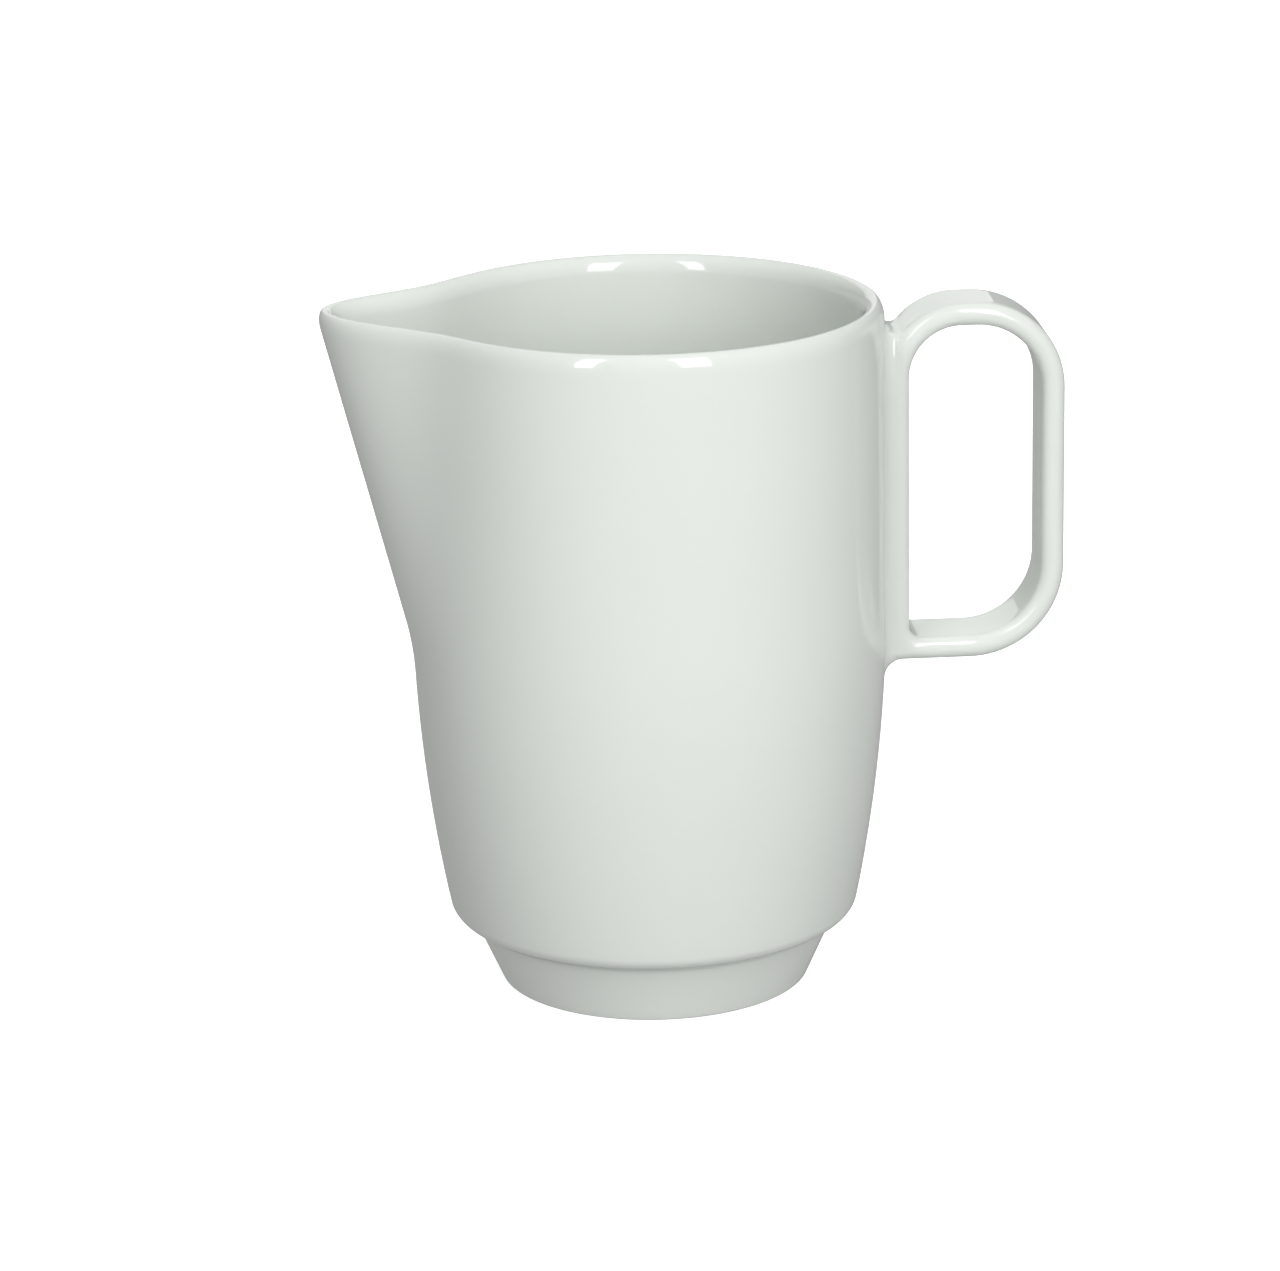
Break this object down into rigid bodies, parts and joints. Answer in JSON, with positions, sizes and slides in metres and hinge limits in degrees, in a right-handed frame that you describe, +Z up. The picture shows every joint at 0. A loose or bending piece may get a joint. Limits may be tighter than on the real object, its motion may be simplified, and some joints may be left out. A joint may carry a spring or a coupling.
{
  "type": "ceramic pitcher",
  "caption": "Glazed white porcelain jug with a round body on a stepped foot, a drawn-out pouring spout and a flat strap handle bent into a closed loop.",
  "frame": {"origin": "On the standing surface, under the middle of the whole jug's box. The jug's own axis is 10.3 mm from it, towards the spout.", "axes": "+X points to the handle, -X to the spout, and +Z up from the foot to the rim. The jug is the same on both sides of the XZ plane."},
  "size_m": [0.169, 0.1092, 0.1606],
  "materials": {
    "glazed_porcelain": "clear glossy glaze over white porcelain",
    "porcelain_slip": "fired slip under the same glaze",
    "unglazed_porcelain": "bare fired porcelain of the standing ring, matt"
  },
  "bodies": {
    "root": {"body": "glazed_porcelain", "handle": "glazed_porcelain", "luting_slip": "porcelain_slip"}
  },
  "joints": []
}
